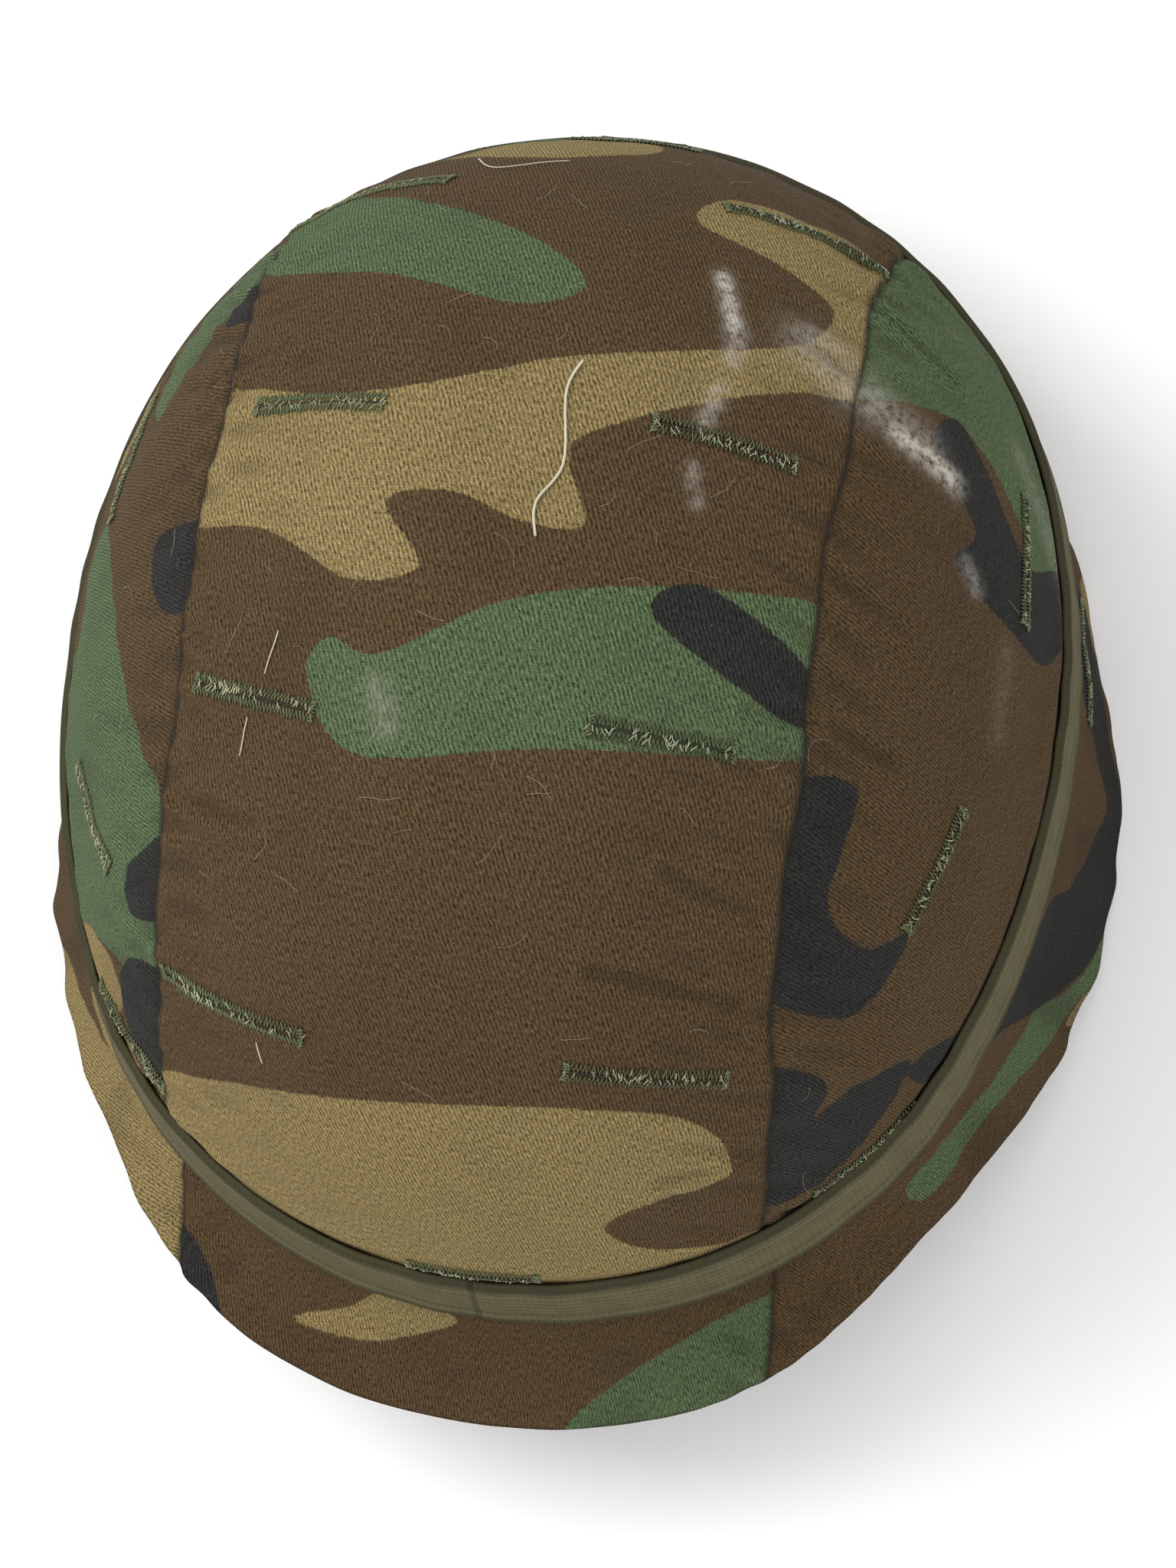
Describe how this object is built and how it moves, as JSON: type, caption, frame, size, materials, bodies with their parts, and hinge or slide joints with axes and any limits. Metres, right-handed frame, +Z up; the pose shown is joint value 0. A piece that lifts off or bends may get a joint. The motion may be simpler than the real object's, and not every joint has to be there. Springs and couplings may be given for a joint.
{
  "type": "combat style safety helmet",
  "caption": "Hard helmet with brim and ear flares under a camouflage cloth cover with foliage slits, an elastic band, web suspension, headband and chinstrap.",
  "frame": {"origin": "on the floor under the middle of the helmet, midway between front and rear edges; the rim rests on the floor", "axes": "+Z up, -Y the front (brim), +Y the rear, +X the wearer's left"},
  "size_m": [0.2302, 0.2805, 0.1725],
  "materials": {
    "camouflage_cloth": "matt twill",
    "hook_and_loop": "matt pile",
    "olive_thread": "matt thread",
    "aramid_shell": "fine sand texture, matt",
    "edging_rubber": "matt",
    "elastic_band": "ribbed elastic webbing, matt",
    "blackened_steel": "satin",
    "olive_webbing": "woven webbing, matt",
    "clip_metal": "satin",
    "lace_cord": "braided cord, matt",
    "sweatband_leather": "smooth, satin",
    "buckle_metal": "satin",
    "chin_cup_webbing": "padded webbing, matt",
    "snap_brass": "darkened"
  },
  "bodies": {
    "helmet": {"cover_panel_center": "camouflage_cloth", "cover_panel_left": "camouflage_cloth", "cover_panel_right": "camouflage_cloth", "cover_hem": "camouflage_cloth", "cover_turnup": "camouflage_cloth", "cover_tab_front": "hook_and_loop", "cover_tab_front_left": "hook_and_loop", "cover_tab_front_right": "hook_and_loop", "cover_tab_rear": "hook_and_loop", "cover_tab_rear_left": "hook_and_loop", "cover_tab_rear_right": "hook_and_loop", "slit_stitching_center": "olive_thread", "slit_stitching_left": "olive_thread", "slit_stitching_right": "olive_thread", "shell": "aramid_shell", "rim_edging": "edging_rubber", "suspension_screw_1": "blackened_steel", "suspension_post_1": "blackened_steel", "crown_web_1": "olive_webbing", "headband_clip_1": "clip_metal", "suspension_screw_2": "blackened_steel", "suspension_post_2": "blackened_steel", "crown_web_2": "olive_webbing", "headband_clip_2": "clip_metal", "suspension_screw_3": "blackened_steel", "suspension_post_3": "blackened_steel", "crown_web_3": "olive_webbing", "headband_clip_3": "clip_metal", "suspension_screw_4": "blackened_steel", "suspension_post_4": "blackened_steel", "crown_web_4": "olive_webbing", "headband_clip_4": "clip_metal", "suspension_screw_5": "blackened_steel", "suspension_post_5": "blackened_steel", "crown_web_5": "olive_webbing", "headband_clip_5": "clip_metal", "suspension_screw_6": "blackened_steel", "suspension_post_6": "blackened_steel", "crown_web_6": "olive_webbing", "headband_clip_6": "clip_metal", "suspension_nuts": "blackened_steel", "suspension_band": "olive_webbing", "crown_lace": "lace_cord", "headband": "olive_webbing", "headband_lining": "sweatband_leather", "chinstrap_bracket_left": "blackened_steel", "chinstrap_bracket_right": "blackened_steel"},
    "band": {"helmet_band": "elastic_band", "helmet_band_join": "elastic_band"},
    "chinstrap": {"chinstrap_web_left": "olive_webbing", "chinstrap_web_right": "olive_webbing", "chin_cup": "chin_cup_webbing", "chinstrap_loop_left": "blackened_steel", "chinstrap_loop_right": "blackened_steel", "snap_cap": "snap_brass", "snap_stud": "snap_brass"},
    "buckle_left": {"adjuster_buckle_left": "buckle_metal"},
    "buckle_right": {"adjuster_buckle_right": "buckle_metal"}
  },
  "joints": [
    {"name": "band_lift", "type": "slide", "parent": "helmet", "child": "band", "axis": [0, 0, 1], "range_m": [0, 0.14]},
    {"name": "chinstrap_swing", "type": "hinge", "parent": "helmet", "child": "chinstrap", "pos_m": [0, -0.022, 0.025], "axis": [1, 0, 0], "range_deg": [-120, 4]},
    {"name": "buckle_left_slide", "type": "slide", "parent": "chinstrap", "child": "buckle_left", "axis": [0, 0.9952, -0.0976], "range_m": [-0.01, 0.006]},
    {"name": "buckle_right_slide", "type": "slide", "parent": "chinstrap", "child": "buckle_right", "axis": [0, 0.9952, -0.0976], "range_m": [-0.01, 0.006]}
  ]
}
